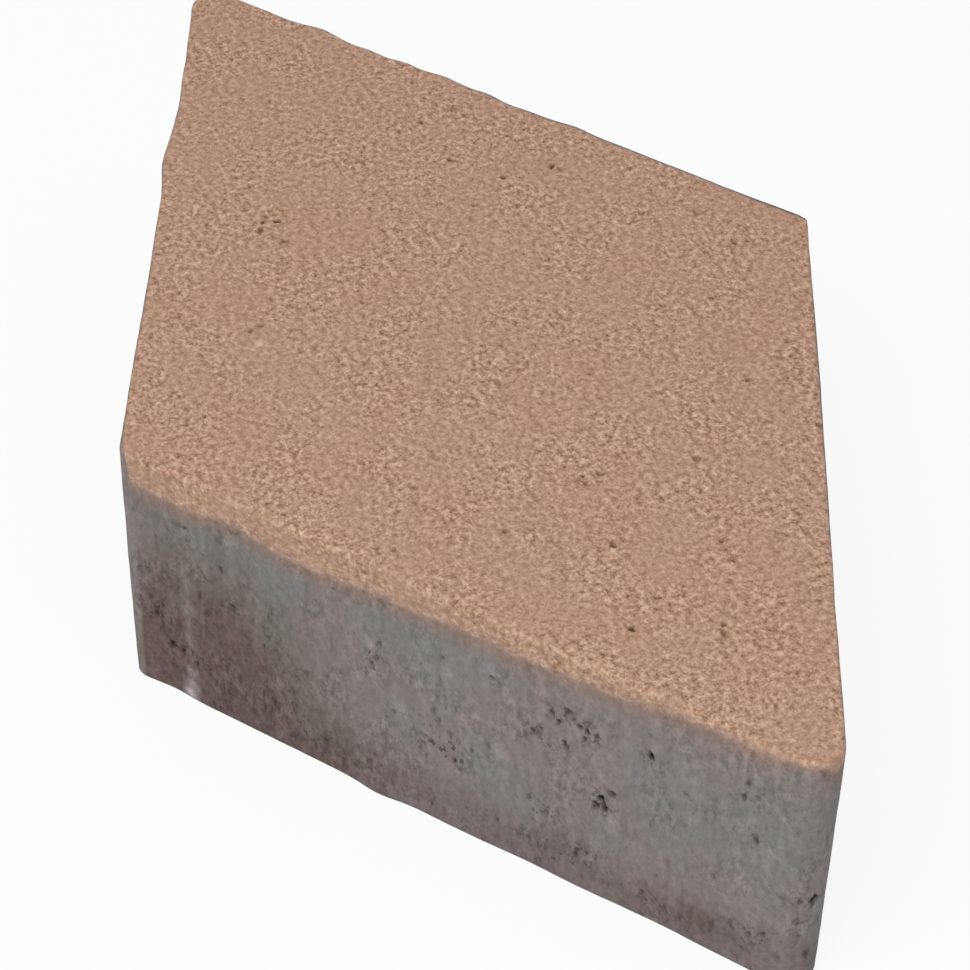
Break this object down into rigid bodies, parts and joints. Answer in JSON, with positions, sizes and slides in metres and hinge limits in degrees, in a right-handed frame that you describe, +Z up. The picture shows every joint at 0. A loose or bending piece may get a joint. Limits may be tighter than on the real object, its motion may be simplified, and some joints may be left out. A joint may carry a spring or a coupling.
{
  "type": "paving stone",
  "caption": "Rhombus concrete paving stone: flat walking face, straight vertical sides, rounded sharp corners and a soft arris.",
  "frame": {"origin": "middle of the bed face, at the height of the laying course", "axes": "+X along the long diagonal, +Y along the short diagonal, +Z up to the walking face"},
  "size_m": [0.2488, 0.1488, 0.06],
  "materials": {
    "pressed_concrete": "matt, sandy tan walking face over plain grey sides"
  },
  "bodies": {
    "root": {"paving_stone": "pressed_concrete"}
  },
  "joints": []
}
